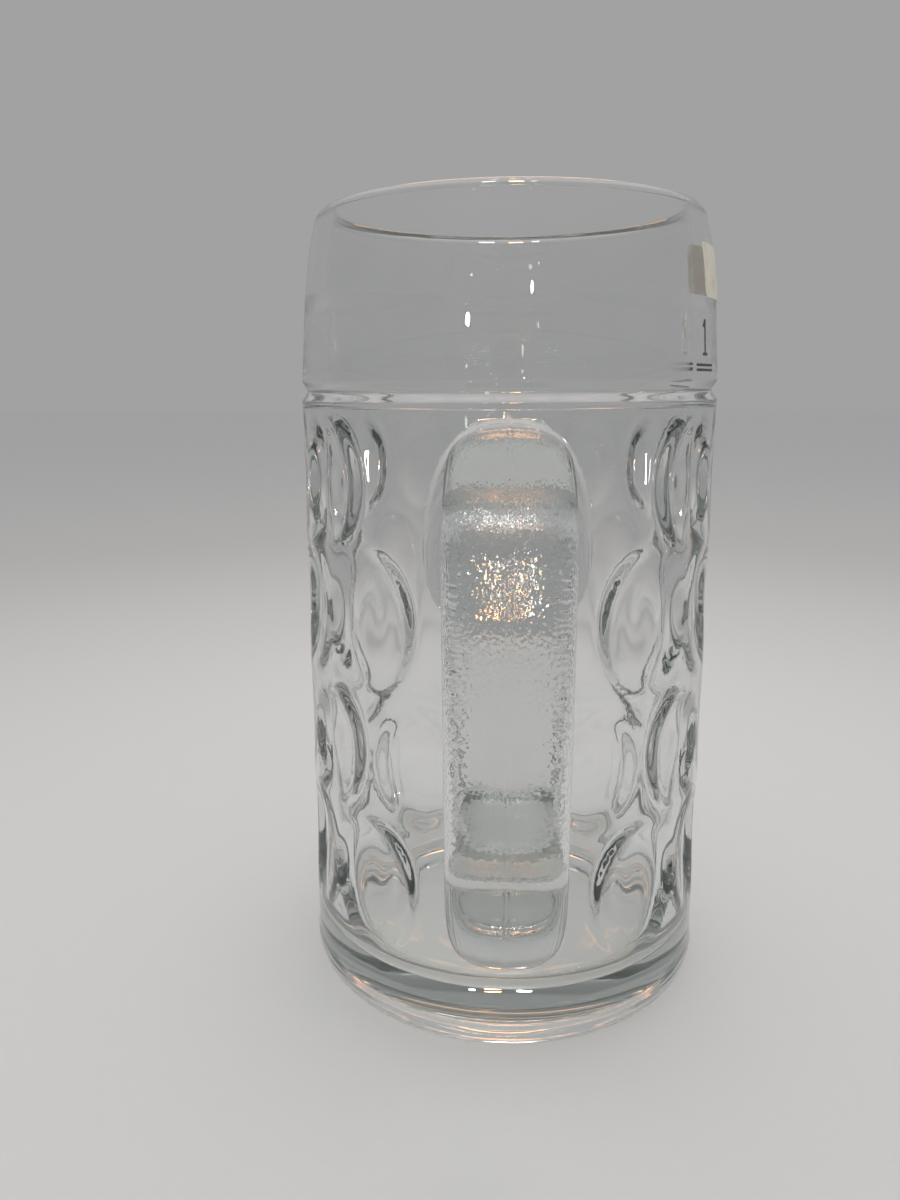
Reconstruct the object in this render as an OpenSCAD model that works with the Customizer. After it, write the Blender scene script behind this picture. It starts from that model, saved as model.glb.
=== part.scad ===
// Dimpled glass beer mug, one litre. Millimetres, +Z up.
// The origin is on the mug's axis, in the plane that it stands on.
// The handle points to -Y, and the print and the label are on the +X side of it.

/* [Body] */
// Height from the table to the rim
mug_h = 199; // [190:0.5:215]
// Diameter just above the rounded foot
body_d = 107.8; // [104:0.2:112]
// How much the body's radius narrows from the foot to the groove
body_taper = 0.7; // [0.2:0.1:2]
// Height of the groove itself
groove_h = 5.4; // [3:0.1:7]
// Depth of the groove
groove_depth = 1.4; // [0.6:0.1:2]

/* [Drinking band] */
// Height of the band, from the middle of the groove up to the rim
band_h = 42.7; // [40:0.1:47]
// How much the band is set back from the body under the groove
band_set_back = 0.5; // [0.2:0.1:1]
// Height of the part of the band that leans inwards, under the rim
lean_h = 21; // [16:0.5:28]
// How much the radius narrows up to where the band starts to lean inwards
band_taper = 1.3; // [0.3:0.1:1.6]
// How much the radius narrows from there to the rounded rim
lean_taper = 3; // [1:0.1:4]
// Height of the rounded rim
lip_h = 2.6; // [1.8:0.1:4]

/* [Inside] */
// Thickness of the glass where the band starts to lean inwards
band_wall_t = 5.4; // [4.6:0.1:6.4]
// Thickness of the glass under the rounded rim
rim_wall_t = 4.9; // [4:0.1:6]
// Thickness of the wall at the floor, and of the glass behind each dimple
low_wall_t = 5.6; // [5:0.1:7.6]
// Height of the inner floor
floor_z = 12; // [10:0.5:18]
// Radius between the inner wall and the floor
floor_corner_r = 9; // [4:0.5:14]

/* [Foot] */
// Width of the rounding at the foot's edge
foot_round_w = 4.5; // [2:0.5:8]
// Height of the rounding at the foot's edge
foot_round_h = 7; // [3:0.5:10]
// Width of the ring that stands on the table
foot_ring_w = 6; // [3:0.5:12]
// Depth of the hollow under the base
foot_hollow_h = 1.6; // [0.5:0.1:3]

/* [Dimples] */
// Angle from one dimple to the next in a row
dimple_pitch_angle = 31.4; // [30.6:0.2:32]
// Radius of the round tool that the dimples follow
dimple_r = 40; // [34:1:46]
// Depth of the dimples in the larger rows, the second and the lowest
wide_dimple_depth = 4.3; // [2.5:0.1:4.5]
// Depth of the dimples in the smaller rows, the top and the third
narrow_dimple_depth = 3.6; // [2.5:0.1:4.5]

/* [Handle] */
// Reach of the handle beyond the body
handle_reach = 45.5; // [38:0.5:52]
// Width of the grip
grip_w = 22.6; // [18:0.2:26]
// Thickness of the grip
grip_t = 17; // [13:0.5:20]
// How far the top of the handle lies under the middle of the groove
handle_drop = 6.3; // [5:0.1:10]
// Height of the underside of the handle
handle_low_z = 43; // [38:0.5:50]
// Radius of the upper bend, on the outside
upper_bend_r = 25; // [22:0.5:32]
// Radius of the lower bend, on the outside
lower_bend_r = 23; // [22:0.5:32]
// Width of the upper root, where it joins the body
upper_root_w = 35; // [28:0.5:38]
// Height of the upper root
upper_root_h = 42; // [30:0.5:46]
// Width of the lower root
lower_root_w = 27; // [24:0.5:32]
// Height of the lower root
lower_root_h = 27; // [20:0.5:36]
// Distance from the body in which a root narrows to the grip
root_flare = 21; // [14:0.5:24]

/* [Print and label] */
// How far the fill line lies above the middle of the groove
fill_line_rise = 5.1; // [4.3:0.1:8]
// Length of the fill line
fill_line_w = 10; // [6:0.5:16]
// Thickness of each stroke of the print
stroke_w = 0.6; // [0.4:0.1:1]
// Height of the numeral over the fill line
numeral_h = 8; // [4:0.5:10]
// Thickness of the enamel
enamel_t = 0.12; // [0.08:0.01:0.3]
// Direction of the print, from the handle round the body
print_angle = 59; // [40:1:70]
// Width of the paper label
label_w = 24; // [16:0.5:32]
// Height of the paper label
label_h = 12; // [8:0.5:14]
// How far the label's lower edge lies above the middle of the groove
label_rise = 20.7; // [19:0.1:23]
// Thickness of the paper
label_t = 0.15; // [0.1:0.01:0.3]
// Direction of the label's middle, from the handle round the body
label_angle = 73; // [50:1:90]

/* [Hidden] */

// How far the sweep of the handle starts inside the body's wall
root_sink = 6;
// The gap between the two strokes of the fill line
stroke_gap = 0.5;
// The gap between the fill line and the numeral
numeral_gap = 1.8;
// Width of the numeral's flag and foot
numeral_w = 2.6;
// The slope at the edge of the hollow under the base
foot_slope_w = 2.4;

// Pitches from the back of the mug to the last dimple of the third row, beside the handle
back_steps = 5;
// Heights of the rows as shares of the groove's height, from the top row down
row_z_shares = [0.864, 0.667, 0.45, 0.242];
// How much of a pitch the larger rows are turned by
stagger_share = 0.5;
// Direction of the back of the mug, from the handle
back_angle = 180;

// Smoothness
curve_steps = 8;
section_points = 28;
bend_steps = 10;
arm_steps = 10;
fine = 120;
dimple_fine = 72;
// How much of the lean is straight; the rest grows towards the rim
straight_share = 0.42;
// Roundness of the grip's section: 1 is an ellipse, less is squarer
section_share = 0.86;
// How quickly a root narrows: 1 is straight, more is more hollow
flare_power = 2.4;

body_r = body_d / 2;
shoulder_r = body_r - body_taper;
band_r = shoulder_r - band_set_back;
band_knee_r = band_r - band_taper;
lip_r = band_knee_r - lean_taper;
floor_r = body_r - low_wall_t;
groove_z = mug_h - band_h;
groove_low_z = groove_z - groove_h / 2;
band_knee_z = mug_h - lean_h;
lip_z = mug_h - lip_h;
// How far the rounded rim goes on leaning inwards
lip_lean = lip_h * lean_taper * (2 - straight_share) / (lip_z - band_knee_z);
foot_ring_r = body_r - foot_round_w;
foot_hollow_r = foot_ring_r - foot_ring_w;

// The body's outline, from the foot's edge up to the rounded rim
foot_points = [for (i = [0:curve_steps]) let (a = 90 * i / curve_steps)
    [body_r - foot_round_w * (1 - sin(a)), foot_round_h * (1 - cos(a))]];
groove_points = [for (i = [0:curve_steps]) let (s = i / curve_steps)
    [shoulder_r + (band_r - shoulder_r) * s - groove_depth * (1 - cos(360 * s)) / 2,
     groove_low_z + groove_h * s]];
// The band leans inwards along a curve, and the inside follows it up to the rim
function lean_r(s) = band_knee_r - lean_taper * (straight_share * s + (1 - straight_share) * s * s);
function lean_z(s) = band_knee_z + (lip_z - band_knee_z) * s;
lean_points = [for (i = [0:curve_steps]) [lean_r(i / curve_steps), lean_z(i / curve_steps)]];
outer_points = concat(foot_points, groove_points, lean_points);

// The rounded rim, from the outside over its crest to the inside
rim_points = [for (i = [1:2 * curve_steps - 1]) let (a = 90 * i / curve_steps)
    [lip_r - rim_wall_t * (1 - cos(a)) / 2 - lip_lean * sin(a), lip_z + lip_h * sin(a)]];

// The inside, from the rim down to the middle of the floor
lean_in_points = [for (i = [curve_steps:-1:0]) let (s = i / curve_steps)
    [lean_r(s) - band_wall_t + (band_wall_t - rim_wall_t) * s, lean_z(s)]];
floor_points = [for (i = [0:curve_steps]) let (a = 90 * i / curve_steps)
    [floor_r - floor_corner_r * (1 - cos(a)), floor_z + floor_corner_r * (1 - sin(a))]];
under_points = [[0, foot_hollow_h], [foot_hollow_r - foot_slope_w, foot_hollow_h], [foot_hollow_r, 0]];

// The outer radius at a height
outer_table = [for (p = outer_points) [p[1], p[0]]];
function outer_r(z) = lookup(z, outer_table);

// Each row is its height, the depth of its dimples, its turn and its last step from the back.
// The same round tool goes deeper for a larger dimple. The handle takes a place in the top row.
row_z = row_z_shares * groove_z;
dimple_rows = [
    [row_z[0], narrow_dimple_depth, 0, back_steps - 1],
    [row_z[1], wide_dimple_depth, stagger_share, back_steps - 1],
    [row_z[2], narrow_dimple_depth, 0, back_steps],
    [row_z[3], wide_dimple_depth, stagger_share, back_steps - 1]];

// The body, open down to where the band starts to lean
module body_outline() {
    polygon(concat(outer_points, rim_points, lean_in_points, [[0, band_knee_z]], under_points));
}

// The rest of the space inside, down to the floor
module cavity_outline() {
    polygon(concat([[0, lip_z], lean_in_points[curve_steps]], floor_points, [[0, floor_z]]));
}

// The round tool of one dimple; a wall's thickness more takes it to the inside of the wall
module dimple(z, depth, angle, wall) {
    rotate([0, 0, angle])
        translate([0, -(outer_r(z) - depth + dimple_r), z])
            sphere(r = dimple_r + wall, $fn = dimple_fine);
}

// Both sides of a row, which meet at the back in one dimple or in the middle between two
module dimple_row(row, wall) {
    for (side = [-1, 1])
        for (i = [0:row[3]])
            if (side > 0 || i + row[2] > 0)
                dimple(row[0], row[1], back_angle - side * dimple_pitch_angle * (i + row[2]), wall);
}

// Takes the first rows of dimples out of a solid, one row at a time
module cut_dimples(rows, wall = 0) {
    if (rows == 0)
        children();
    else
        difference() {
            cut_dimples(rows - 1, wall) children();
            dimple_row(dimple_rows[rows - 1], wall);
        }
}

// The dimples are pressed into the outside, and the inside of the wall follows them
module vessel() {
    color([0.66, 0.70, 0.68, 0.45])
        difference() {
            cut_dimples(len(dimple_rows))
                rotate_extrude($fn = fine) body_outline();
            cut_dimples(len(dimple_rows), low_wall_t)
                rotate_extrude($fn = fine) cavity_outline();
        }
}

// The handle's middle line runs out from the body, down and back in again
handle_top_z = groove_z - handle_drop;
arm_start_u = outer_r(handle_top_z - grip_t) - root_sink;
handle_u = body_r + handle_reach;
upper_mid_v = handle_top_z - grip_t / 2;
lower_mid_v = handle_low_z + grip_t / 2;
upper_mid_r = upper_bend_r - grip_t / 2;
lower_mid_r = lower_bend_r - grip_t / 2;
upper_arm_u = handle_u - upper_bend_r;
lower_arm_u = handle_u - lower_bend_r;

// Each station is the distance from the axis, the height and the turn of the line
upper_arm = [for (i = [0:arm_steps - 1])
    [arm_start_u + (upper_arm_u - arm_start_u) * i / arm_steps, upper_mid_v, 0]];
upper_bend = [for (i = [0:bend_steps]) let (a = 90 * i / bend_steps)
    [upper_arm_u + upper_mid_r * sin(a), upper_mid_v - upper_mid_r * (1 - cos(a)), a]];
lower_bend = [for (i = [0:bend_steps]) let (a = 90 * i / bend_steps)
    [lower_arm_u + lower_mid_r * cos(a), lower_mid_v + lower_mid_r * (1 - sin(a)), 90 + a]];
lower_arm = [for (i = [arm_steps - 1:-1:0])
    [arm_start_u + (lower_arm_u - arm_start_u) * i / arm_steps, lower_mid_v, 180]];
stations = concat(upper_arm, upper_bend, lower_bend, lower_arm);

// How much of a root is left at a distance from the axis: 1 at the body, 0 at the grip
function root_share(u) = pow(max(0, 1 - max(0, u - body_r) / root_flare), flare_power);
function root_w(s) = s[2] < 90 ? upper_root_w : lower_root_w;
function root_h(s) = s[2] < 90 ? upper_root_h : lower_root_h;
function half_w(s) = (grip_w + (root_w(s) - grip_w) * root_share(s[0])) / 2;
function half_h(s) = (grip_t + (root_h(s) - grip_t) * root_share(s[0])) / 2;

// A root grows towards the finger gap only, so the outside of the handle runs on straight
function ring(s) = [for (k = [0:section_points - 1])
    let (a = 360 * k / section_points,
         across = half_w(s) * sign(cos(a)) * pow(abs(cos(a)), section_share),
         out = grip_t / 2 - half_h(s) + half_h(s) * sign(sin(a)) * pow(abs(sin(a)), section_share))
    [across, -(s[0] + out * sin(s[2])), s[1] + out * cos(s[2])]];

module handle_sweep() {
    m = section_points;
    n = len(stations);
    points = [for (s = stations) each ring(s)];
    sides = [for (j = [0:n - 2]) for (k = [0:m - 1]) let (l = (k + 1) % m)
        [j * m + k, j * m + l, (j + 1) * m + l, (j + 1) * m + k]];
    caps = [[for (k = [m - 1:-1:0]) k], [for (k = [0:m - 1]) (n - 1) * m + k]];
    polyhedron(points = points, faces = concat(sides, caps), convexity = 6);
}

// The body without its dimples, from the foot's rounding up to the groove
module body_cone() {
    translate([0, 0, foot_round_h])
        cylinder(h = groove_low_z - foot_round_h, r1 = body_r, r2 = shoulder_r, $fn = fine);
}

module handle() {
    color([0.62, 0.67, 0.65, 0.45])
        difference() {
            handle_sweep();
            body_cone();
        }
}

// A thin layer on the outside of the body, from one height to another
module layer(z0, z1, t, angle, w) {
    turn = w / outer_r((z0 + z1) / 2) * 180 / PI;
    edge = concat([[outer_r(z0), z0]],
        [for (p = outer_points) if (p[1] > z0 && p[1] < z1) p], [[outer_r(z1), z1]]);
    back = [for (i = [len(edge) - 1:-1:0]) edge[i] + [t, 0]];
    rotate([0, 0, angle - 90 - turn / 2])
        rotate_extrude(angle = turn, $fn = fine)
            polygon(concat(edge, back));
}

fill_line_z = groove_z + fill_line_rise;

module fill_line() {
    color([0.13, 0.15, 0.15])
        for (z = [fill_line_z - stroke_w - stroke_gap / 2, fill_line_z + stroke_gap / 2])
            layer(z, z + stroke_w, enamel_t, print_angle, fill_line_w);
}

numeral_z = fill_line_z + stroke_gap / 2 + stroke_w + numeral_gap;

module capacity_numeral() {
    color([0.13, 0.15, 0.15]) {
        layer(numeral_z, numeral_z + numeral_h, enamel_t, print_angle, stroke_w);
        layer(numeral_z, numeral_z + stroke_w, enamel_t, print_angle, numeral_w);
    }
}

label_z = groove_z + label_rise;

module price_label() {
    color([0.93, 0.92, 0.88])
        layer(label_z, label_z + label_h, label_t, label_angle, label_w);
}

vessel();
handle();
fill_line();
capacity_numeral();
price_label();
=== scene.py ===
# A one-litre dimpled glass beer mug on a pale floor. Metres, +Z up, the handle points to -Y.
import math

import bpy
from mathutils import Matrix, Vector


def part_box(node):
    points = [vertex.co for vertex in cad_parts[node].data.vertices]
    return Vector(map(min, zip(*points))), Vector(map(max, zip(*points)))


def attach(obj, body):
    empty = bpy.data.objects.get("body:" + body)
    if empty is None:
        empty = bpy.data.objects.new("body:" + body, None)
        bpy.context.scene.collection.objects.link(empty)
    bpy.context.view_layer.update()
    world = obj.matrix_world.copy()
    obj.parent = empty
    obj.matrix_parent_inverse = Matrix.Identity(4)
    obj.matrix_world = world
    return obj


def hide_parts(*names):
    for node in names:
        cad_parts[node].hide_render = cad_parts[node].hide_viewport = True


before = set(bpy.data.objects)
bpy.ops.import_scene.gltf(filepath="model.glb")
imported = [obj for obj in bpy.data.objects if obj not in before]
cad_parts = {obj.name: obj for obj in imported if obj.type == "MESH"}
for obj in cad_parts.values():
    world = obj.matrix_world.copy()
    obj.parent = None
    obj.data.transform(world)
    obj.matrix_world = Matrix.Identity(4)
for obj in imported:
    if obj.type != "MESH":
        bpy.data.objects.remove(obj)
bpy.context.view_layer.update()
print("frame loaded:", sorted(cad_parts))


class Wire:
    # a node's output that takes part in sums
    def __init__(self, tree, socket):
        self.tree = tree
        self.socket = socket

    def __add__(self, other):
        return self.tree.maths("ADD", self, other)

    def __radd__(self, other):
        return self.tree.maths("ADD", other, self)

    def __sub__(self, other):
        return self.tree.maths("SUBTRACT", self, other)

    def __rsub__(self, other):
        return self.tree.maths("SUBTRACT", other, self)

    def __mul__(self, other):
        return self.tree.maths("MULTIPLY", self, other)

    def __rmul__(self, other):
        return self.tree.maths("MULTIPLY", other, self)

    def __truediv__(self, other):
        return self.tree.maths("DIVIDE", self, other)

    def __rtruediv__(self, other):
        return self.tree.maths("DIVIDE", other, self)

    def __pow__(self, other):
        return self.tree.maths("POWER", self, other)

    def out(self, name):
        # another output of the same node
        return Wire(self.tree, self.socket.node.outputs[name])


class Tree:
    # adds nodes to a shader or geometry tree
    def __init__(self, nodeTree):
        self.nodes = nodeTree.nodes
        self.links = nodeTree.links

    def add(self, kind, settings=None, sockets=None, out=0):
        # settings are set first; a socket goes by its name or number and takes a value or a wire
        node = self.nodes.new(kind)
        for name, value in (settings or {}).items():
            setattr(node, name, value)
        for name, value in (sockets or {}).items():
            if isinstance(value, Wire):
                self.links.new(value.socket, node.inputs[name])
            else:
                node.inputs[name].default_value = value
        return Wire(self, node.outputs[out]) if node.outputs else node

    def maths(self, operation, *values):
        return self.add("ShaderNodeMath", {"operation": operation}, dict(enumerate(values)))

    def smooth(self, value, low, high):
        # 0 at low, 1 at high, with a soft start and end
        return self.add(
            "ShaderNodeMapRange",
            {"interpolation_type": "SMOOTHSTEP"},
            {"Value": value, "From Min": low, "From Max": high},
        )

    def mixColour(self, share, first, second):
        # a colour mix has its share in socket 0, its colours in 6 and 7 and its result in output 2
        return self.add("ShaderNodeMix", {"data_type": "RGBA"}, {0: share, 6: first, 7: second}, 2)

    def noise(self, place, scale, detail, roughness=0.5):
        sockets = {"Vector": place, "Scale": scale, "Detail": detail, "Roughness": roughness}
        return self.add("ShaderNodeTexNoise", {}, sockets)

    def bump(self, millimetres):
        # a relief whose height is given in millimetres
        return self.add("ShaderNodeBump", {}, {"Strength": 1.0, "Distance": 0.001, "Height": millimetres})


def emptyTree(owner):
    # the node tree of a material or of the world, cleared
    owner.use_nodes = True
    owner.node_tree.nodes.clear()
    return Tree(owner.node_tree)


def linkMesh(name, points, faces):
    mesh = bpy.data.meshes.new(name)
    mesh.from_pydata(points, [], faces)
    mesh.update()
    made = bpy.data.objects.new(name, mesh)
    bpy.context.scene.collection.objects.link(made)
    return made


def bakeModifiers(made):
    # the evaluated shape becomes the object's own plain mesh
    graph = bpy.context.evaluated_depsgraph_get()
    mesh = bpy.data.meshes.new_from_object(made.evaluated_get(graph), depsgraph=graph)
    made.modifiers.clear()
    made.data = mesh
    mesh.name = made.name
    return made


def arc(centre, reach, first, last, steps):
    # points on part of an ellipse, with its angles in degrees
    points = []
    for i in range(steps + 1):
        turn = math.radians(first + (last - first) * i / steps)
        points.append((centre[0] + reach[0] * math.cos(turn), centre[1] + reach[1] * math.sin(turn)))
    return points


def line(first, last, steps):
    # evenly spaced points, both ends among them
    return [
        (first[0] + (last[0] - first[0]) * i / steps, first[1] + (last[1] - first[1]) * i / steps)
        for i in range(steps + 1)
    ]


# Camera, as in the photograph: close in front of the handle and a little above the middle
cameraPlace = {
    "distance": 0.2499,
    "height": 0.1575,
    "tiltDegrees": 12.91,
    "turnDegrees": 3.47,
    "rollDegrees": -0.27,
    "roundDegrees": -0.42,
    "lensMm": 27.99,
    "sensorMm": 36.0,
    "clipNear": 0.01,
    "clipFar": 20,
}


def makeCamera():
    data = bpy.data.cameras.new("camera")
    data.lens = cameraPlace["lensMm"]
    data.sensor_width = cameraPlace["sensorMm"]
    data.clip_start = cameraPlace["clipNear"]
    data.clip_end = cameraPlace["clipFar"]
    camera = bpy.data.objects.new("camera", data)
    around = Matrix.Rotation(math.radians(cameraPlace["roundDegrees"]), 4, "Z")
    place = Matrix.Translation((0, -cameraPlace["distance"], cameraPlace["height"]))
    turn = Matrix.Rotation(math.radians(cameraPlace["turnDegrees"]), 4, "Z")
    tilt = Matrix.Rotation(math.radians(90 - cameraPlace["tiltDegrees"]), 4, "X")
    roll = Matrix.Rotation(math.radians(cameraPlace["rollDegrees"]), 4, "Z")
    camera.matrix_world = around @ place @ turn @ tilt @ roll
    bpy.context.scene.collection.objects.link(camera)
    bpy.context.scene.camera = camera


makeCamera()
print("camera placed")

# The glass body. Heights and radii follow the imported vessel's box.
vesselLow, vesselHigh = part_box("vessel")
body = {
    "radius": vesselHigh.x,
    "height": vesselHigh.z,
    "taper": 0.0007,  # how much the wall narrows from the foot to the groove
    "footRoundWidth": 0.0045,
    "footRoundHeight": 0.007,
    "footFromDegrees": -86,
    "ringWidth": 0.006,
    "ringEdge": 0.0006,
    "hollowHeight": 0.0016,
    "hollowSlope": 0.0024,
    "bandHeight": 0.0427,  # from the middle of the groove to the rim
    "grooveHeight": 0.0054,
    "grooveDepth": 0.0014,
    "bandSetBack": 0.0005,
    "bandTaper": 0.0013,
    "leanHeight": 0.021,
    "leanTaper": 0.003,
    "straightShare": 0.42,  # how much of the lean is straight, the rest curves
    "lipHeight": 0.0026,
    "bandWall": 0.0054,
    "rimWall": 0.0049,
    "lowWall": 0.0056,
    "floorHeight": 0.012,
    "floorCorner": 0.009,
    "underSteps": 3,
    "edgeSteps": 2,
    "footSteps": 14,
    "wallSteps": 110,
    "grooveSteps": 16,
    "bandSteps": 8,
    "leanSteps": 14,
    "rimSteps": 16,
    "insideSteps": 64,
    "cornerSteps": 10,
    "dentedCornerSteps": 6,  # how far into the floor's corner the dimples reach
    "floorSteps": 3,
}
body["grooveMiddle"] = body["height"] - body["bandHeight"]
body["shoulder"] = body["radius"] - body["taper"]
body["band"] = body["shoulder"] - body["bandSetBack"]
body["knee"] = body["band"] - body["bandTaper"]
body["kneeHeight"] = body["height"] - body["leanHeight"]
body["lipLow"] = body["height"] - body["lipHeight"]
body["inside"] = body["radius"] - body["lowWall"]


def wallRadius(z):
    # the body's radius without dimples, from the foot's rounding to the groove
    low = body["footRoundHeight"]
    high = body["grooveMiddle"] - body["grooveHeight"] / 2
    return body["radius"] - body["taper"] * min(1, max(0, (z - low) / (high - low)))


def leanRadius(share):
    # the band leans in along a curve, from its knee to the rounded rim
    straight = body["straightShare"]
    return body["knee"] - body["leanTaper"] * (straight * share + (1 - straight) * share * share)


def bandRadius(z):
    # the drinking band's radius, from the groove to the rounded rim
    low = body["grooveMiddle"] + body["grooveHeight"] / 2
    knee = body["kneeHeight"]
    if z < knee:
        return body["band"] - body["bandTaper"] * (z - low) / (knee - low)
    return leanRadius((z - knee) / (body["lipLow"] - knee))


def outlineOfBody():
    # from the middle of the underside, up the outside, over the rim and down to the middle of the floor
    ringOut = body["radius"] - body["footRoundWidth"]
    hollow = ringOut - body["ringWidth"]
    slope = hollow - body["hollowSlope"]
    edge, hollowHeight = body["ringEdge"], body["hollowHeight"]
    under = line((0, hollowHeight), (slope, hollowHeight), body["underSteps"])
    under += line((slope + edge, hollowHeight - edge / 2), (hollow - edge, edge / 2), body["edgeSteps"])
    footRound = (body["footRoundWidth"], body["footRoundHeight"])
    foot = line((hollow + edge, 0), (ringOut - edge, 0), body["edgeSteps"])
    foot += arc((ringOut, footRound[1]), footRound, body["footFromDegrees"], 0, body["footSteps"])
    low = body["grooveMiddle"] - body["grooveHeight"] / 2
    high = body["grooveMiddle"] + body["grooveHeight"] / 2
    wallHeights = [z for _, z in line((0, footRound[1]), (0, low), body["wallSteps"])]
    wall = [(wallRadius(z), z) for z in wallHeights[1:]]
    groove = []
    for i in range(1, body["grooveSteps"] + 1):
        part = i / body["grooveSteps"]
        dip = body["grooveDepth"] * (1 - math.cos(2 * math.pi * part)) / 2
        radius = body["shoulder"] + (body["band"] - body["shoulder"]) * part - dip
        groove.append((radius, low + (high - low) * part))
    knee, lipLow = body["kneeHeight"], body["lipLow"]
    bandHeights = [z for _, z in line((0, high), (0, knee), body["bandSteps"])]
    shares = [i / body["leanSteps"] for i in range(body["leanSteps"] + 1)]
    lean = [(leanRadius(share), knee + (lipLow - knee) * share) for share in shares]
    band = [(bandRadius(z), z) for z in bandHeights[1:]] + lean[1:]
    # the rim is half an ellipse that starts in the direction of the lean
    lip = leanRadius(1)
    onwards = body["lipHeight"] * (lean[-2][0] - lip) / (lipLow - lean[-2][1])
    rim = []
    for i in range(1, body["rimSteps"]):
        turn = math.pi * i / body["rimSteps"]
        back = body["rimWall"] * (1 - math.cos(turn)) / 2 + onwards * math.sin(turn)
        rim.append((lip - back, lipLow + body["lipHeight"] * math.sin(turn)))
    inside = []
    for share, (radius, z) in zip(reversed(shares), reversed(lean)):
        inside.append((radius - body["bandWall"] + (body["bandWall"] - body["rimWall"]) * share, z))
    corner, floor = body["floorCorner"], body["floorHeight"]
    inside += line(inside[-1], (body["inside"], floor + corner), body["insideSteps"])[1:]
    turned = (body["inside"] - corner, floor + corner)
    inside += arc(turned, (corner, corner), 0, -90, body["cornerSteps"])[1:]
    inside += line((body["inside"] - corner, floor), (0, floor), body["floorSteps"])[1:]
    # the dimples are pressed into the wall, and its inside follows them
    points = under + foot + wall + groove + band + rim + inside
    dented = [0] * len(points)
    insideFrom = len(points) - len(inside) + len(shares)
    insideRows = body["insideSteps"] + body["dentedCornerSteps"]
    for first, count in ((len(under + foot), len(wall)), (insideFrom, insideRows)):
        dented[first:first + count] = [1] * count
    return points, dented


dimples = {
    "pitch": math.radians(31.4),
    "largeWidth": 0.0300,
    "largeHeight": 0.0365,
    "largeDepth": 0.0043,
    "smallWidth": 0.0260,
    "smallHeight": 0.0322,
    "smallDepth": 0.0037,
    "edgePower": 3.0,  # a higher power makes a flatter bowl with a steeper edge
    "ridgeRound": 0.0007,  # softens the ridge between two dimples that meet
    "rowShares": (0.864, 0.667, 0.45, 0.242),  # heights of the rows' middles, as shares of the groove's
    "lastSteps": (4, 4.5, 5, 4.5),  # pitches from the back to the last dimple of each row
    "stepSlack": 0.1,  # in pitches, so that the last dimple counts in spite of rounding
    "around": 288,
    "weld": 0.00001,
}
pressInputs = {
    "Pitch": dimples["pitch"],
    "Large Width": dimples["largeWidth"],
    "Large Height": dimples["largeHeight"],
    "Large Depth": dimples["largeDepth"],
    "Small Width": dimples["smallWidth"],
    "Small Height": dimples["smallHeight"],
    "Small Depth": dimples["smallDepth"],
    "Edge Power": dimples["edgePower"],
    "Ridge Round": dimples["ridgeRound"],
    "Groove Height": body["grooveMiddle"],
    "Wall Radius": body["radius"],
    "Around": dimples["around"],
}


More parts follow.
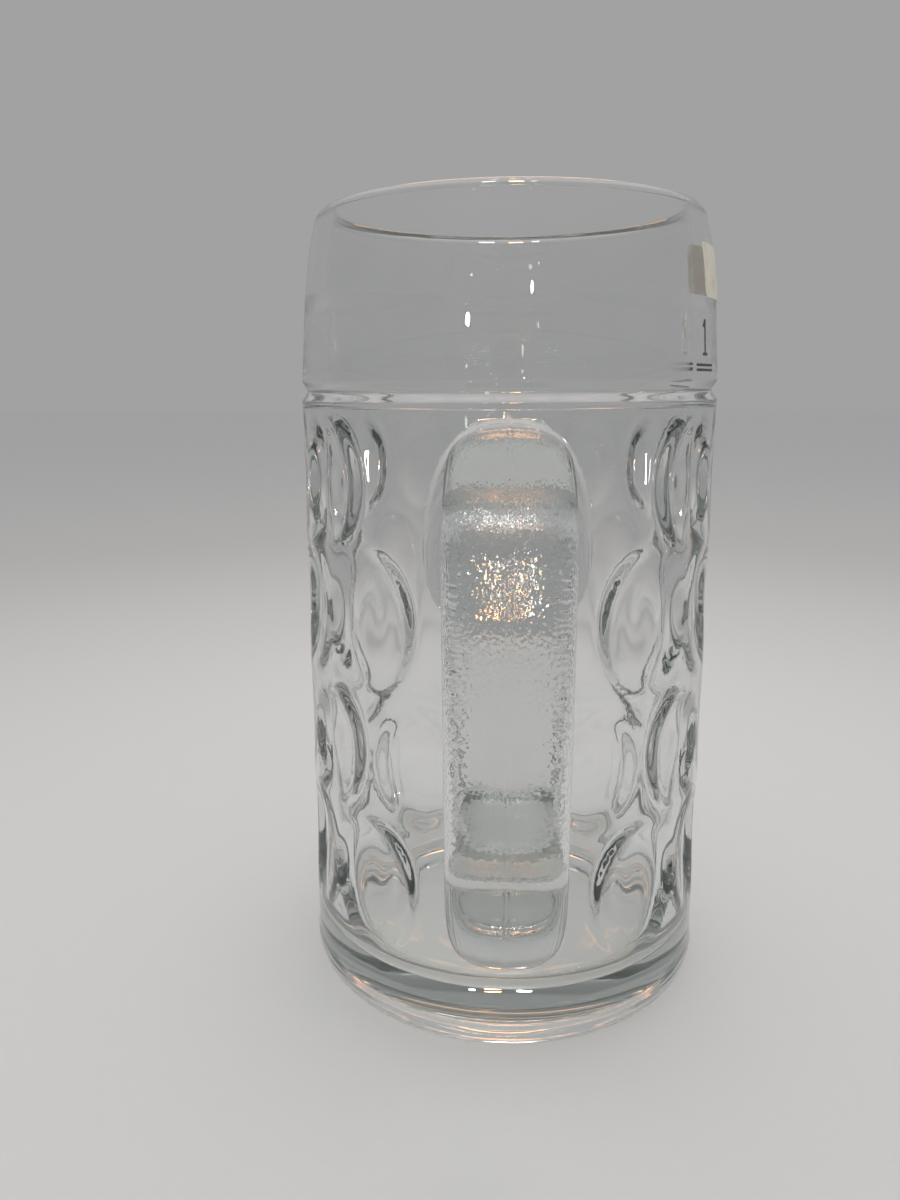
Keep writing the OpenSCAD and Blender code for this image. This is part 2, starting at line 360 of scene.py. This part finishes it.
def dimpleTree():
    # a lathe of the outline, with the rows of dimples pressed into the wall
    group = bpy.data.node_groups.new("dimpledGlass", "GeometryNodeTree")
    group.interface.new_socket("Geometry", in_out="INPUT", socket_type="NodeSocketGeometry")
    for name, value in pressInputs.items():
        kind = "NodeSocketInt" if isinstance(value, int) else "NodeSocketFloat"
        group.interface.new_socket(name, in_out="INPUT", socket_type=kind)
    group.interface.new_socket("Geometry", in_out="OUTPUT", socket_type="NodeSocketGeometry")
    tree = Tree(group)
    given = tree.add("NodeGroupInput")
    outline = given.out("Geometry")
    rows = tree.add("GeometryNodeAttributeDomainSize", {}, {"Geometry": outline}, "Point Count")
    gridSize = {"Size X": 1.0, "Size Y": 1.0, "Vertices X": given.out("Around") + 1, "Vertices Y": rows}
    grid = tree.add("GeometryNodeMeshGrid", {}, gridSize)
    # the grid's X runs round the mug and its Y along the outline, both from -0.5 to 0.5
    position = tree.add("GeometryNodeInputPosition")
    place = tree.add("ShaderNodeSeparateXYZ", {}, {0: position})
    row = (place.out("Y") + 0.5) * (rows - 1) + 0.5
    turn = (place.out("X") + 0.5) * (2 * math.pi)
    fromBack = turn - math.pi

    def fromOutline(kind, value):
        # reads a value of the outline's point that this row of the grid stands for
        whole = tree.add("FunctionNodeFloatToInt", {"rounding_mode": "FLOOR"}, {0: row})
        sockets = {"Geometry": outline, "Value": value, "Index": whole}
        return tree.add("GeometryNodeSampleIndex", {"data_type": kind, "domain": "POINT"}, sockets)

    point = tree.add("ShaderNodeSeparateXYZ", {}, {0: fromOutline("FLOAT_VECTOR", position)})
    radius, height = point.out("X"), point.out("Z")
    dented = tree.add("GeometryNodeInputNamedAttribute", {"data_type": "FLOAT"}, {"Name": "dented"})
    dented = fromOutline("FLOAT", dented)

    def dimpleDepth(rowShare, lastStep, size, beside):
        # depth of the nearest dimple of a row, or of the one beside it, below the plain wall
        pitch = given.out("Pitch")
        stagger = lastStep % 1
        step = tree.maths("ROUND", fromBack / pitch - stagger) + stagger
        if beside:
            step = step + tree.maths("SIGN", fromBack / pitch - step)
        across = (fromBack - step * pitch) * given.out("Wall Radius") / (given.out(size + " Width") / 2)
        up = (height - rowShare * given.out("Groove Height")) / (given.out(size + " Height") / 2)
        out = tree.maths("SQRT", across * across + up * up)
        bowl = tree.maths("MAXIMUM", 1 - out ** given.out("Edge Power"), 0.0) ** 2
        there = tree.maths("LESS_THAN", tree.maths("ABSOLUTE", step), lastStep + dimples["stepSlack"])
        return bowl * given.out(size + " Depth") * there

    deep = None
    for number, (rowShare, lastStep) in enumerate(zip(dimples["rowShares"], dimples["lastSteps"])):
        for beside in (False, True):
            one = dimpleDepth(rowShare, lastStep, "Large" if number % 2 else "Small", beside)
            deep = one if deep is None else tree.maths("SMOOTH_MAX", deep, one, given.out("Ridge Round"))
    radius = radius - deep * dented
    across, away = radius * tree.maths("SINE", turn), radius * tree.maths("COSINE", turn)
    ringPoint = tree.add("ShaderNodeCombineXYZ", {}, {"X": across, "Y": away * -1, "Z": height})
    lathe = tree.add("GeometryNodeSetPosition", {}, {"Geometry": grid, "Position": ringPoint})
    lathe = tree.add("GeometryNodeMergeByDistance", {}, {"Geometry": lathe, "Distance": dimples["weld"]})
    lathe = tree.add("GeometryNodeSetShadeSmooth", {}, {"Geometry": lathe})
    lathe = tree.add("GeometryNodeRealizeInstances", {}, {"Geometry": lathe})
    lathe = tree.add("GeometryNodeSetMaterial", {}, {"Geometry": lathe, "Material": glass})
    tree.add("NodeGroupOutput", {}, {"Geometry": lathe})
    return group


def setInputs(modifier, values):
    # a modifier's input goes by its socket's identifier, not by its name
    for item in modifier.node_group.interface.items_tree:
        if item.in_out == "INPUT" and item.name in values:
            modifier[item.identifier] = values[item.name]


def makeBody():
    points, dented = outlineOfBody()
    chain = bpy.data.meshes.new("mugGlass")
    chain.from_pydata([(r, 0, z) for r, z in points], [(i, i + 1) for i in range(len(points) - 1)], [])
    chain.attributes.new("dented", "FLOAT", "POINT").data.foreach_set("value", [float(d) for d in dented])
    made = bpy.data.objects.new("mugGlass", chain)
    bpy.context.scene.collection.objects.link(made)
    press = made.modifiers.new("press", "NODES")
    press.node_group = dimpleTree()
    setInputs(press, pressInputs)
    return bakeModifiers(made)


# The handle: a straight grip between two rounded bends, with flared roots
handleLow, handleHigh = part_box("handle")
handle = {
    "top": handleHigh.z,
    "low": handleLow.z,
    "gripWidth": 0.0241,
    "lowGripWidth": 0.0230,
    "gripThick": 0.017,
    "upperBend": 0.025,  # outer radius of the bend
    "lowerBend": 0.023,
    "lowerArmThick": 0.0195,
    "upperRootWidth": 0.0342,
    "upperRootHeight": 0.044,
    "lowerRootWidth": 0.0235,
    "lowerRootHeight": 0.0275,
    "flare": 0.015,
    "rootEgg": 0.14,  # how much the upper root narrows upwards
    "fillet": 0.0009,
    "sink": 0.004,  # how far the roots reach into the wall
    "squareness": 0.80,  # 1 is an ellipse, less is squarer
    "seamOffsets": (0.0009, 0.00055, 0.0003, 0.00015),  # where the closer steps lie beside the seam
    "seamHalf": 0.00033,  # half the width that stands proud
    "seamRise": 0.00016,
    "seamClear": 0.02,  # angle kept free between the even steps and the closer ones
    "around": 64,
    "armSteps": 34,
    "bendSteps": 24,
    "gripSteps": 44,
}
handle["reach"] = -handleLow.y - handle["seamRise"]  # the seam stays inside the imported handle's box


def ringAngles():
    # even steps round a section, with closer ones at the mould seam on the outer face
    half = handle["gripWidth"] / 2
    power = 1 / handle["squareness"]
    fine = [math.acos((offset / half) ** power) for offset in handle["seamOffsets"]]
    steps = [2 * math.pi * k / handle["around"] for k in range(handle["around"])]
    clear = math.pi / 2 - fine[0] + handle["seamClear"]
    kept = [angle for angle in steps if abs(angle - math.pi / 2) > clear]
    return sorted(kept + fine + [math.pi - angle for angle in fine] + [math.pi / 2])


handle["angles"] = ringAngles()


def handleStations():
    # distance from the axis, height and turn of the handle's middle line, from the upper root to the lower
    half = handle["gripThick"] / 2
    start = body["radius"] - handle["sink"]
    topZ = handle["top"] - half
    lowZ = handle["low"] + half
    upper = handle["reach"] - handle["upperBend"]
    lower = handle["reach"] - handle["lowerBend"]
    upperRadius = handle["upperBend"] - half
    lowerRadius = handle["lowerBend"] - half
    # the arms have closer steps near the body, where they flare
    quarter = math.pi / 2
    arms = [1 - math.cos(quarter * i / handle["armSteps"]) for i in range(handle["armSteps"])]
    turns = [quarter * i / handle["bendSteps"] for i in range(handle["bendSteps"])]
    stations = [(start + (upper - start) * share, topZ, 0) for share in arms]
    for turn in turns:
        away = upper + upperRadius * math.sin(turn)
        stations.append((away, topZ - upperRadius * (1 - math.cos(turn)), turn))
    gripTop = topZ - upperRadius
    gripLow = lowZ + lowerRadius
    for i in range(handle["gripSteps"]):
        z = gripTop + (gripLow - gripTop) * i / handle["gripSteps"]
        stations.append((handle["reach"] - half, z, quarter))
    for turn in turns:
        away = lower + lowerRadius * math.cos(turn)
        stations.append((away, lowZ + lowerRadius * (1 - math.sin(turn)), quarter + turn))
    stations += [(start + (lower - start) * share, lowZ, math.pi) for share in reversed([*arms, 1])]
    return stations


def handleRing(station):
    # one closed section, wider near the body, where its edge curls out into the wall
    away, height, turn = station
    share = max(0, 1 - max(0, away - body["radius"]) / handle["flare"])
    root = share * share * (3 - 2 * share)
    which = "upper" if turn < math.pi / 2 else "lower"
    down = min(1, max(0, (handle["top"] - height) / (handle["top"] - handle["low"])))
    wide = handle["gripWidth"] + (handle["lowGripWidth"] - handle["gripWidth"]) * down
    halfWide = (wide + (handle[which + "RootWidth"] - wide) * root) / 2
    bend = max(0, (turn - math.pi / 2) / (math.pi / 2))
    thick = handle["gripThick"] + (handle["lowerArmThick"] - handle["gripThick"]) * bend
    halfHigh = (thick + (handle[which + "RootHeight"] - thick) * root) / 2
    egg = handle["rootEgg"] * root if which == "upper" else 0
    ring = []
    for angle in handle["angles"]:
        side, rise = (
            math.copysign(abs(part) ** handle["squareness"], part)
            for part in (math.cos(angle), math.sin(angle))
        )
        across = halfWide * side * (1 - egg * rise)
        out = handle["gripThick"] / 2 - halfHigh + halfHigh * rise
        if rise > 0 and abs(across) < handle["seamHalf"]:
            out += handle["seamRise"]
        near = math.hypot(across, away) - wallRadius(height + out * math.cos(turn))
        near = min(1, max(0, near / handle["fillet"]))
        curl = handle["fillet"] * (1 - math.sqrt(1 - (1 - near) ** 2))
        across += curl * math.cos(angle)
        out += curl * math.sin(angle)
        ring.append((across, -(away + out * math.sin(turn)), height + out * math.cos(turn)))
    return ring


def makeHandle():
    stations = handleStations()
    around = len(handle["angles"])
    points = [point for station in stations for point in handleRing(station)]
    last = (len(stations) - 1) * around
    faces = []
    for row in range(0, last, around):
        for k in range(around):
            after = (k + 1) % around
            faces.append((row + k, row + after, row + around + after, row + around + k))
    faces.append(tuple(reversed(range(around))))
    faces.append(tuple(range(last, last + around)))
    return linkMesh("handleGlass", points, faces)


def makeGlass():
    # body and handle are one piece of glass, as on the real mug
    made = makeBody()
    arm = makeHandle()
    join = made.modifiers.new("join", "BOOLEAN")
    join.operation = "UNION"
    join.solver = "EXACT"
    join.object = arm
    bakeModifiers(made)
    bpy.data.objects.remove(arm)
    for face in made.data.polygons:
        face.use_smooth = True
    made.data.materials.clear()
    made.data.materials.append(glass)
    return made


glassLook = {
    "colour": (0.975, 0.978, 0.976, 1),
    "deep": (0.955, 0.96, 0.957, 1),
    "tintScale": 45.0,
    "tintDetail": 2.0,
    "tintFrom": 0.35,
    "tintTo": 0.65,
    "inside": (0.77, 0.79, 0.78, 1),  # what the glass lets through, less of it at a higher density
    "insideDensity": 30.0,
    "ior": 1.5,
    "shadow": (0.93, 0.935, 0.93, 1),
    "waveScale": 150,
    "waveDetail": 1.0,
    "waveMm": 0.010,
    "rippleScale": (2400, 1000, 1200),
    "rippleDetail": 0.6,
    "handleFrom": 0.060,  # distances from the axis between which the handle's ripples begin
    "handleTo": 0.070,
    "skinFrom": 0.0015,  # how far the ripples of a face reach into the handle
    "skinTo": 0.0045,
    "skinMm": 0.010,  # ripples on the outer face of the grip
    "bendMm": 0.09,  # and on its upper and lower bends, which begin between two heights
    "bendFrom": 0.126,
    "bendTo": 0.138,
    "lowMm": 0.06,
    "lowFrom": 0.044,
    "lowTo": 0.058,
    "rippleMm": 0.065,  # ripples on the face towards the finger gap, coarser further up
    "sparkleMm": 0.24,
    "sparkleFrom": 0.084,
    "sparkleTo": 0.106,
}


def handleDepth(tree, away, up):
    # depth below the handle's outer face, which reaches the handle's thickness at the face towards the gap
    upper, lower = handle["upperBend"], handle["lowerBend"]
    depths = []
    for bend, rise in ((upper, up - (handle["top"] - upper)), (lower, handle["low"] + lower - up)):
        out = tree.maths("MAXIMUM", away - (handle["reach"] - bend), 0.0)
        rise = tree.maths("MAXIMUM", rise, 0.0)
        depths.append(bend - tree.maths("SQRT", out * out + rise * rise))
    return tree.maths("MINIMUM", *depths)


def rippleHeight(tree, spot):
    # height in millimetres of the ripples on the two wide faces of the handle
    look = glassLook
    place = tree.add("ShaderNodeSeparateXYZ", {}, {0: spot})
    away, up = place.out("Y") * -1, place.out("Z")
    deep, thick = handleDepth(tree, away, up), handle["gripThick"]
    onHandle = tree.smooth(away, look["handleFrom"], look["handleTo"])
    towardsGap = onHandle * tree.smooth(deep, thick - look["skinTo"], thick - look["skinFrom"])
    outerFace = onHandle * (1 - tree.smooth(deep, look["skinFrom"], look["skinTo"]))
    high = tree.smooth(up, look["sparkleFrom"], look["sparkleTo"])
    rippled = towardsGap * (high * (look["sparkleMm"] - look["rippleMm"]) + look["rippleMm"])
    bend = tree.smooth(up, look["bendFrom"], look["bendTo"])
    low = 1 - tree.smooth(up, look["lowFrom"], look["lowTo"])
    skin = bend * (look["bendMm"] - look["skinMm"]) + low * (look["lowMm"] - look["skinMm"])
    skin = outerFace * (skin + look["skinMm"])
    stretched = tree.add("ShaderNodeVectorMath", {"operation": "MULTIPLY"}, {0: spot, 1: look["rippleScale"]})
    return tree.noise(stretched, 1.0, look["rippleDetail"]) * (rippled + skin)


def makeGlassMaterial():
    # clear pressed glass: a faint uneven tint, slow waves from the fire polish, fine ripples on the handle
    material = bpy.data.materials.new("pressedGlass")
    tree = emptyTree(material)
    spot = tree.add("ShaderNodeTexCoord", out="Object")
    cloud = tree.noise(spot, glassLook["tintScale"], glassLook["tintDetail"])
    cloud = tree.smooth(cloud, glassLook["tintFrom"], glassLook["tintTo"])
    waves = tree.noise(spot, glassLook["waveScale"], glassLook["waveDetail"])
    surface = tree.add("ShaderNodeBsdfPrincipled", {}, {
        "Base Color": tree.mixColour(cloud, glassLook["colour"], glassLook["deep"]),
        "Roughness": 0.0,
        "IOR": glassLook["ior"],
        "Transmission Weight": 1.0,
        "Normal": tree.bump(waves * glassLook["waveMm"] + rippleHeight(tree, spot)),
    })
    # light from the studio passes to the floor, where it leaves only a soft shadow
    shadow = tree.add("ShaderNodeBsdfTransparent", {}, {"Color": glassLook["shadow"]})
    ray = tree.add("ShaderNodeLightPath")
    both = tree.add("ShaderNodeMixShader", {}, {0: ray.out("Is Shadow Ray"), 1: surface, 2: shadow})
    inside = {"Color": glassLook["inside"], "Density": glassLook["insideDensity"]}
    inside = tree.add("ShaderNodeVolumeAbsorption", {}, inside)
    tree.add("ShaderNodeOutputMaterial", {}, {"Surface": both, "Volume": inside})
    return material


glass = makeGlassMaterial()
mug = makeGlass()
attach(mug, "root")
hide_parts("vessel", "handle")
print("glass pressed:", len(mug.data.polygons), "faces")

# Thin things on the band: a blank price label, the fill line and the numeral over it
labelPaper = {
    "direction": 73,  # degrees round from the handle
    "width": 0.024,
    "rise": 0.0207,  # from the middle of the groove
    "height": 0.012,
    "corner": 0.0016,
    "cornerSteps": 6,
    "parts": 8,  # rows of faces and columns of faces, so that the paper follows the band
    "columns": 36,
    "thickness": 0.00013,
    "lift": 0.00002,
    "colour": (0.66, 0.62, 0.53, 1),
    "aged": (0.56, 0.49, 0.37, 1),
    "stainScale": 260.0,
    "stainDetail": 4.0,
    "stainFrom": 0.45,
    "stainTo": 0.75,
    "fibreColour": (0.8, 0.78, 0.72, 1),
    "fibreScale": 2600.0,
    "fibreDetail": 3.0,
    "fibreRoughness": 0.7,
    "fibreFrom": 0.4,
    "fibreTo": 0.7,
    "fibreShare": 0.25,
    "fibreMm": 0.02,
    "roughness": 0.8,
    "roughnessChange": 0.15,
    "specular": 0.3,
}
enamelPrint = {
    "direction": 59,
    "lineWidth": 0.010,
    "lineRise": 0.0051,
    "lineColumns": 20,
    "stroke": 0.0006,
    "cornerShare": 0.4,
    "cornerSteps": 3,
    "gap": 0.0005,
    "numeralGap": 0.0018,
    "numeralHeight": 0.008,
    "numeralColumns": 8,
    "footWidth": 0.0026,
    "stemShares": (0.25, 0.4, 0.55, 0.7, 0.85),
    "flagShare": 0.22,
    "flagThickShare": 0.7,
    "edgeShare": 0.1,  # how much of a stroke it takes to change from one width to the next
    "thickness": 0.0001,
    "lift": 0.00002,
    "colour": (0.035, 0.042, 0.042, 1),
    "worn": (0.16, 0.17, 0.165, 1),
    "grainScale": 3000.0,
    "grainDetail": 3.0,
    "wornFrom": 0.5,
    "wornTo": 0.75,
    "grainMm": 0.02,
    "roughness": 0.35,
    "roughnessChange": 0.25,
}


def sheetOnBand(name, look, shapes, columns):
    # each shape is rows of height, first and last arc length; it becomes a thin closed sheet on the glass
    points, faces = [], []
    wide = columns + 1
    for rows in shapes:
        front = len(points)
        back = front + len(rows) * wide
        for up in (look["lift"] + look["thickness"], look["lift"]):
            for z, first, last in rows:
                radius = bandRadius(z)
                for i in range(wide):
                    turn = math.radians(look["direction"]) + (first + (last - first) * i / columns) / radius
                    points.append(((radius + up) * math.sin(turn), -(radius + up) * math.cos(turn), z))
        for low in range(0, (len(rows) - 1) * wide, wide):
            high = low + wide
            for i in range(columns):
                left, over = low + i, high + i
                faces.append((front + left, front + left + 1, front + over + 1, front + over))
                faces.append((back + left + 1, back + left, back + over, back + over + 1))
            faces.append((back + low, front + low, front + high, back + high))
            left, over = low + columns, high + columns
            faces.append((front + left, back + left, back + over, front + over))
        top = (len(rows) - 1) * wide
        for i in range(columns):
            faces.append((back + i, back + i + 1, front + i + 1, front + i))
            faces.append((front + top + i, front + top + i + 1, back + top + i + 1, back + top + i))
    return linkMesh(name, points, faces)


def roundedRows(low, height, width, corner, steps, parts=1):
    # rows of a rectangle with rounded corners, and between them those that cut its height in equal parts
    rows = []
    for i in range(steps + 1):
        turn = math.pi / 2 * i / steps
        half = width / 2 - corner * (1 - math.sin(turn))
        rows.append((low + corner * (1 - math.cos(turn)), -half, half))
    heights = [height * i / parts for i in range(1, parts)]
    middle = [(low + up, -width / 2, width / 2) for up in heights if corner < up < height - corner]
    return rows + middle + [(2 * low + height - z, first, last) for z, first, last in reversed(rows)]


def makeLabel():
    look = labelPaper
    low = body["grooveMiddle"] + look["rise"]
    rows = roundedRows(low, look["height"], look["width"], look["corner"], look["cornerSteps"], look["parts"])
    return sheetOnBand("priceLabel", look, [rows], look["columns"])


def makeFillLine():
    look = enamelPrint
    middle = body["grooveMiddle"] + look["lineRise"]
    stroke, gap = look["stroke"], look["gap"]
    shapes = [
        roundedRows(low, stroke, look["lineWidth"], stroke * look["cornerShare"], look["cornerSteps"])
        for low in (middle - stroke - gap / 2, middle + gap / 2)
    ]
    return sheetOnBand("fillLine", look, shapes, look["lineColumns"])


def makeNumeral():
    # a plain figure 1: a foot, a stem and a flag that slopes down from the top
    look = enamelPrint
    stroke = look["stroke"]
    low = body["grooveMiddle"] + look["lineRise"] + look["gap"] / 2 + stroke + look["numeralGap"]
    high = low + look["numeralHeight"]
    foot, stem = look["footWidth"] / 2, stroke / 2
    flagLow = high - look["numeralHeight"] * look["flagShare"]
    rows = [(low, -foot, foot), (low + stroke, -foot, foot)]
    rows.append((low + stroke * (1 + look["edgeShare"]), -stem, stem))
    rows += [(low + (flagLow - low) * share, -stem, stem) for share in look["stemShares"]]
    rows += [(flagLow, -stem, stem), (flagLow + stroke * look["edgeShare"], -foot, stem)]
    rows += [(flagLow + stroke * look["flagThickShare"], -foot, stem), (high, -stem, stem)]
    return sheetOnBand("capacityNumeral", look, [rows], look["numeralColumns"])


def makePaperMaterial():
    look = labelPaper
    material = bpy.data.materials.new("labelPaper")
    tree = emptyTree(material)
    spot = tree.add("ShaderNodeTexCoord", out="Object")
    stains = tree.noise(spot, look["stainScale"], look["stainDetail"])
    stains = tree.smooth(stains, look["stainFrom"], look["stainTo"])
    fibres = tree.noise(spot, look["fibreScale"], look["fibreDetail"], look["fibreRoughness"])
    pale = tree.smooth(fibres, look["fibreFrom"], look["fibreTo"]) * look["fibreShare"]
    colour = tree.mixColour(stains, look["colour"], look["aged"])
    surface = tree.add("ShaderNodeBsdfPrincipled", {}, {
        "Base Color": tree.mixColour(pale, colour, look["fibreColour"]),
        "Roughness": look["roughness"] + fibres * look["roughnessChange"],
        "Specular IOR Level": look["specular"],
        "Normal": tree.bump(fibres * look["fibreMm"]),
    })
    tree.add("ShaderNodeOutputMaterial", {}, {"Surface": surface})
    return material


def makeEnamelMaterial():
    look = enamelPrint
    material = bpy.data.materials.new("printEnamel")
    tree = emptyTree(material)
    spot = tree.add("ShaderNodeTexCoord", out="Object")
    grain = tree.noise(spot, look["grainScale"], look["grainDetail"])
    worn = tree.smooth(grain, look["wornFrom"], look["wornTo"])
    surface = tree.add("ShaderNodeBsdfPrincipled", {}, {
        "Base Color": tree.mixColour(worn, look["colour"], look["worn"]),
        "Roughness": look["roughness"] + grain * look["roughnessChange"],
        "Normal": tree.bump(grain * look["grainMm"]),
    })
    tree.add("ShaderNodeOutputMaterial", {}, {"Surface": surface})
    return material


enamel = makeEnamelMaterial()
thinPieces = (
    (makeLabel, "price_label", "label_paper", makePaperMaterial()),
    (makeFillLine, "fill_line", "print_enamel", enamel),
    (makeNumeral, "capacity_numeral", "print_enamel", enamel),
)
for make, node, slot, finish in thinPieces:
    piece = make()
    piece.data.materials.append(finish)
    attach(piece, "root")
    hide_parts(node)
print("label and print laid on")

# The floor and the world
studio = {
    "floorSize": 6.0,
    "floorDrop": 0.0001,
    # the floor's pale colour near the mug, and the painted shade it turns to further out
    "floorNear": (0.63, 0.63, 0.63, 1),
    "floorPaintedShade": (0.445, 0.445, 0.445, 1),
    "farFrom": 0.05,  # distances from the mug between which the floor is painted darker: painted shade that leaves a painted pool of light around the mug
    "farTo": 0.8,
    "cloudScale": 4.0,
    "cloudDetail": 4.0,
    "cloudShare": 0.06,
    "grainScale": 900.0,
    "grainDetail": 2.0,
    "grainMm": 0.05,
    "roughness": 0.82,
    "roughnessChange": 0.12,
    "specular": 0.1,
    "dome": (0.78, 0.78, 0.78, 1),  # the light on the floor
    "horizon": (0.36, 0.36, 0.36, 1),  # what is seen level and overhead
    "above": (0.52, 0.52, 0.525, 1),
    "riseFrom": 0.34,
    "riseTo": 0.60,
    "bounces": 32,
    "glossyBounces": 24,
}


def makeFloor():
    size, low = studio["floorSize"], -studio["floorDrop"]
    corners = [(-size, -size, low), (size, -size, low), (size, size, low), (-size, size, low)]
    floor = linkMesh("floor", corners, [(0, 1, 2, 3)])
    material = bpy.data.materials.new("paleFloor")
    tree = emptyTree(material)
    spot = tree.add("ShaderNodeTexCoord", out="Object")
    away = tree.add("ShaderNodeVectorMath", {"operation": "LENGTH"}, {0: spot}, "Value")
    cloud = tree.noise(spot, studio["cloudScale"], studio["cloudDetail"])
    grain = tree.noise(spot, studio["grainScale"], studio["grainDetail"])
    # painted shade: the floor darkens with distance from the mug, as if lit only near it, with a faint random
    # cloud on top
    far = tree.smooth(away, studio["farFrom"], studio["farTo"]) + (cloud - 0.5) * studio["cloudShare"]
    surface = tree.add("ShaderNodeBsdfPrincipled", {}, {
        "Base Color": tree.mixColour(far, studio["floorNear"], studio["floorPaintedShade"]),
        "Roughness": studio["roughness"] + grain * studio["roughnessChange"],
        "Specular IOR Level": studio["specular"],
        "Normal": tree.bump(grain * studio["grainMm"]),
    })
    tree.add("ShaderNodeOutputMaterial", {}, {"Surface": surface})
    floor.data.materials.append(material)


def makeWorld():
    # an even pale dome lights the floor; the eye and the glass see a darker one instead, pale overhead
    world = bpy.data.worlds.new("studio")
    bpy.context.scene.world = world
    tree = emptyTree(world)
    direction = tree.add("ShaderNodeSeparateXYZ", {}, {0: tree.add("ShaderNodeTexCoord", out="Generated")})
    rise = tree.smooth(direction.out("Z"), studio["riseFrom"], studio["riseTo"])
    colour = tree.mixColour(rise, studio["horizon"], studio["above"])
    ray = tree.add("ShaderNodeLightPath")
    seen = tree.maths("MAXIMUM", ray.out("Is Camera Ray"), ray.out("Is Glossy Ray"))
    seen = tree.maths("MAXIMUM", seen, ray.out("Is Transmission Ray"))
    notFromFloor = tree.maths("LESS_THAN", ray.out("Diffuse Depth"), 0.5)  # no matt surface met yet
    shown = tree.mixColour(tree.maths("MINIMUM", seen, notFromFloor), studio["dome"], colour)
    shine = tree.add("ShaderNodeBackground", {}, {"Color": shown, "Strength": 1.0})
    tree.add("ShaderNodeOutputWorld", {}, {"Surface": shine})


# Lamps: a softbox overhead, four small ones in front for the glints, three tiny ones behind the mug that
# glitter in the ripples of the grip, and a warm one high behind it
bandFront = (0, -0.05, 0.17)
behindGrip = (0, 0, 0.13)
lamps = {
    "softbox": {
        "place": (0.1, 0.1, 1.5), "target": (0, 0, 0), "size": (0.5, 0.5), "power": 4,
        "glossy": False,
    },
    "keyLamp": {
        "place": (-0.43, -1.15, 0.41), "target": bandFront, "size": (0.05, 0.018), "power": 0.35,
    },
    "lowLamp": {
        "place": (-0.49, -1.15, 0.15), "target": bandFront, "size": (0.035, 0.02), "power": 0.2,
    },
    "sideLamp": {
        "place": (0.25, -1.19, 0.46), "target": bandFront, "size": (0.03, 0.03), "power": 0.12,
    },
    "frontLamp": {
        "place": (0.17, -1.22, 0.18), "target": bandFront, "size": (0.02, 0.02), "power": 0.08,
    },
    "backLamp": {
        "place": (-0.012, 0.35, 0.110), "target": behindGrip, "size": (0.011, 0.011), "power": 0.012,
    },
    "backSideLamp": {
        "place": (0.021, 0.35, 0.107), "target": behindGrip, "size": (0.005, 0.009), "power": 0.004,
    },
    "backWarmLamp": {
        "place": (0.008, 0.35, 0.120), "target": behindGrip, "size": (0.011, 0.009), "power": 0.009,
        "colour": (1.0, 0.50, 0.20),
    },
    "warmLamp": {
        "place": (0.0, 0.80, 0.70), "target": (0, 0, 0.1), "size": (0.42, 0.13), "power": 0.42,
        "colour": (1.0, 0.42, 0.14),
    },
}


def makeLamp(name, place, target, size, power, colour=(1, 1, 1), glossy=True):
    data = bpy.data.lights.new(name, "AREA")
    data.shape = "ELLIPSE"
    data.size, data.size_y = size
    data.energy = power
    data.color = colour
    lamp = bpy.data.objects.new(name, data)
    lamp.location = place
    lamp.rotation_euler = (Vector(target) - Vector(place)).to_track_quat("-Z", "Y").to_euler()
    lamp.visible_camera = False
    lamp.visible_glossy = glossy
    bpy.context.scene.collection.objects.link(lamp)


makeFloor()
makeWorld()
for name, lamp in lamps.items():
    makeLamp(name, **lamp)
bpy.context.scene.view_settings.view_transform = "Standard"
cycles = bpy.context.scene.cycles
cycles.max_bounces = studio["bounces"]
cycles.transmission_bounces = studio["bounces"]
cycles.glossy_bounces = studio["glossyBounces"]
print("studio lit")
